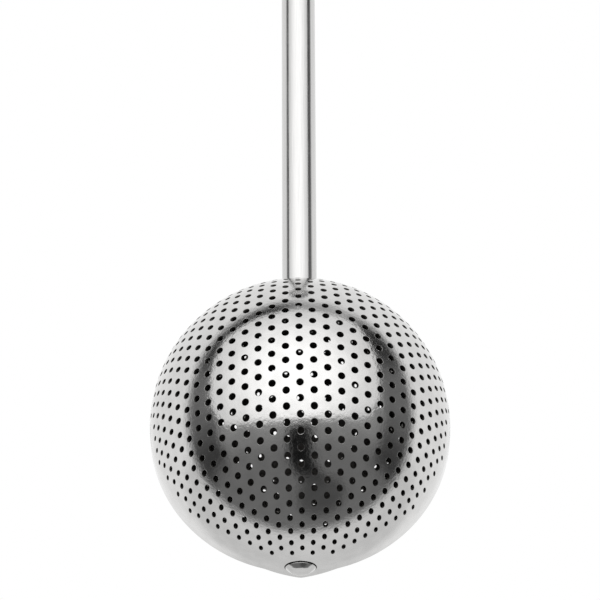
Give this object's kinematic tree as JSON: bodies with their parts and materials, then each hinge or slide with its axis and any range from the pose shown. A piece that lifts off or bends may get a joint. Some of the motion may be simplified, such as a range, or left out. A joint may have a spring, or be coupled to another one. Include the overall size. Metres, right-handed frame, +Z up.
{
  "type": "tea infuser",
  "caption": "Perforated steel tea ball on a long tube stem; a twist knob turns the rear half shell open inside the front one.",
  "frame": {"origin": "lowest point, the tip of the pivot rivet's head, on the stem's axis", "axes": "+Z up the stem towards the twist knob, -Y the way the fixed front shell faces, +X to the right of a person who looks at the front shell"},
  "size_m": [0.045, 0.044, 0.19],
  "materials": {
    "polished_steel": "polished stainless steel",
    "satin_steel": "satin stainless steel",
    "soft_rubber": "soft matte black",
    "hard_plastic": "fine matte texture",
    "bearing_plastic": "natural acetal"
  },
  "bodies": {
    "handle": {"front_shell": "polished_steel", "pivot_rivet": "polished_steel", "pivot_washer": "satin_steel", "stem_tube": "satin_steel", "lower_bush": "bearing_plastic", "upper_bush": "bearing_plastic", "grip_ferrule": "satin_steel", "grip_core": "hard_plastic", "grip_sleeve": "soft_rubber", "stop_pin": "satin_steel", "thrust_washer": "bearing_plastic"},
    "twist": {"rear_shell": "polished_steel", "drive_rod": "satin_steel", "shell_washer": "satin_steel", "shell_nut": "satin_steel", "friction_ring": "soft_rubber", "knob_core": "hard_plastic", "knob_pin": "satin_steel", "knob_sleeve": "soft_rubber", "knob_cap": "polished_steel"}
  },
  "joints": [
    {"name": "ball_twist", "type": "hinge", "parent": "handle", "child": "twist", "pos_m": [0, 0, 0.02315], "axis": [0, 0, 1], "range_deg": [0, 180]}
  ]
}
